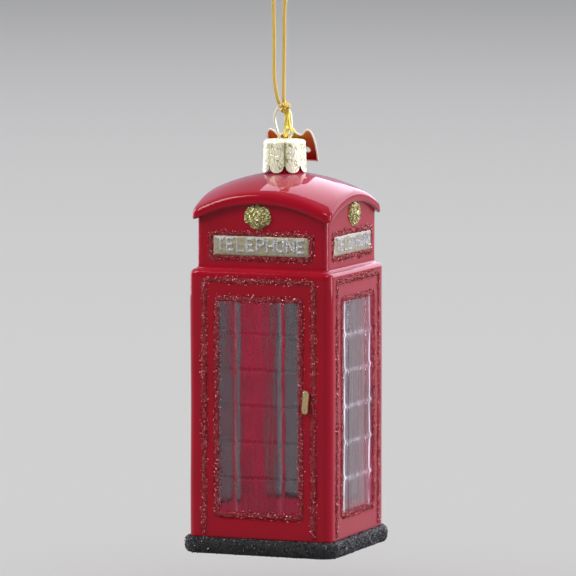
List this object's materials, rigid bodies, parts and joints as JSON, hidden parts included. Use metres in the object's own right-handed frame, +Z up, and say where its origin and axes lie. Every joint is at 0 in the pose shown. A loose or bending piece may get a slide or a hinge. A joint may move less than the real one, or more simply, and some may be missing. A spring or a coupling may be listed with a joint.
{
  "type": "hanging glass tree ornament",
  "caption": "Blown-glass tree ornament shaped as a red telephone booth, with clear windows, glitter trim, a crimped cap, a wire ring, a hang tag and a cord loop.",
  "frame": {"origin": "the point where a hook bears inside the top of the cord's loop, with the whole ornament hanging below it", "axes": "+Z up along the hanging cord, -Y towards the front of the booth, where the door handle is, +X to the viewer's right"},
  "size_m": [0.0512, 0.0512, 0.1782],
  "materials": {
    "clear_glass": "clear blown glass, slightly wavy",
    "red_lacquer": "deep red glossy lacquer on the glass",
    "red_glitter": "crimson glitter set in raised lines",
    "gold_glitter": "pale gold glitter in raised beads",
    "black_glitter": "black glitter with grey sparkle",
    "sign_paint": "satin beige grey paint with white glitter letters",
    "pale_gold_cap": "pale gold anodised foil, embossed and crimped",
    "spring_wire": "pale gold plated spring wire",
    "gold_cord": "braided gold metallic cord",
    "yellow_cord": "bright yellow metallic thread",
    "tag_card": "foil card, gold shading to orange and dark red"
  },
  "bodies": {
    "cord": {"hanging_cord": "gold_cord"},
    "knot": {"cord_knot": "gold_cord"},
    "hanger": {"cap": "pale_gold_cap", "hanger_wire": "spring_wire", "tag_cord": "yellow_cord"},
    "tag": {"hang_tag": "tag_card"},
    "booth": {"glass_shell": "clear_glass", "lacquer_coat": "red_lacquer", "base_band": "black_glitter", "front_outline_trim": "red_glitter", "front_window_trim": "red_glitter", "front_sign_panel": "sign_paint", "front_sign_trim": "red_glitter", "front_emblem": "gold_glitter", "right_outline_trim": "red_glitter", "right_window_trim": "red_glitter", "right_sign_panel": "sign_paint", "right_sign_trim": "red_glitter", "right_emblem": "gold_glitter", "back_outline_trim": "red_glitter", "back_window_trim": "red_glitter", "back_sign_panel": "sign_paint", "back_sign_trim": "red_glitter", "back_emblem": "gold_glitter", "left_outline_trim": "red_glitter", "left_window_trim": "red_glitter", "left_sign_panel": "sign_paint", "left_sign_trim": "red_glitter", "left_emblem": "gold_glitter", "door_handle": "gold_glitter"}
  },
  "joints": [
    {"name": "cord_twist", "type": "hinge", "parent": "cord", "child": "knot", "pos_m": [0.0014, -0.0004, -0.038], "axis": [0, 0, 1], "range_deg": [-90, 90]},
    {"name": "ring_swing", "type": "hinge", "parent": "knot", "child": "hanger", "pos_m": [0.0011, 0, -0.0397], "axis": [1, 0, 0], "range_deg": [-20, 20]},
    {"name": "tag_lift", "type": "hinge", "parent": "hanger", "child": "tag", "pos_m": [0.00105, 0.00515, -0.04705], "axis": [1, 0, 0], "range_deg": [0, 70]},
    {"name": "glass_pull", "type": "slide", "parent": "hanger", "child": "booth", "axis": [0, 0, 1], "range_m": [-0.016, 0]}
  ]
}
